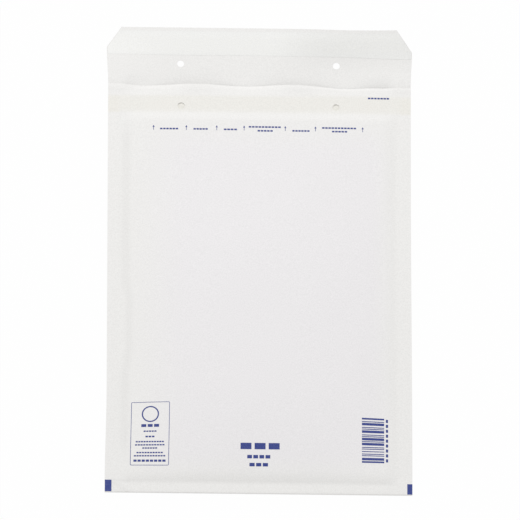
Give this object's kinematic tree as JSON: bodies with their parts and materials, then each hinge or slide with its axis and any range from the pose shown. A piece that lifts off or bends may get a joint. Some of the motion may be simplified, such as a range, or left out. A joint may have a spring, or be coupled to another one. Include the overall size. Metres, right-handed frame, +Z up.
{
  "type": "padded envelope",
  "caption": "White padded mailing envelope lined with bubble film, lying on its back with its flap open and the release strip still on.",
  "frame": {"origin": "centre of the outline at the lowest point of the back panel, on the surface it lies on", "axes": "+X across the envelope to its right side seam, +Y along it from the bottom fold to the flap, +Z up out of the front panel"},
  "size_m": [0.24, 0.4, 0.0122],
  "materials": {
    "white_kraft_paper": "matte",
    "bubble_film": "gloss",
    "hot_melt_glue": "satin",
    "silicone_paper": "satin"
  },
  "bodies": {
    "root": {"paper_envelope": "white_kraft_paper", "bubble_lining": "bubble_film", "film_bond_front": "hot_melt_glue", "film_bond_back": "hot_melt_glue", "flap_adhesive": "hot_melt_glue", "release_liner": "silicone_paper"}
  },
  "joints": []
}
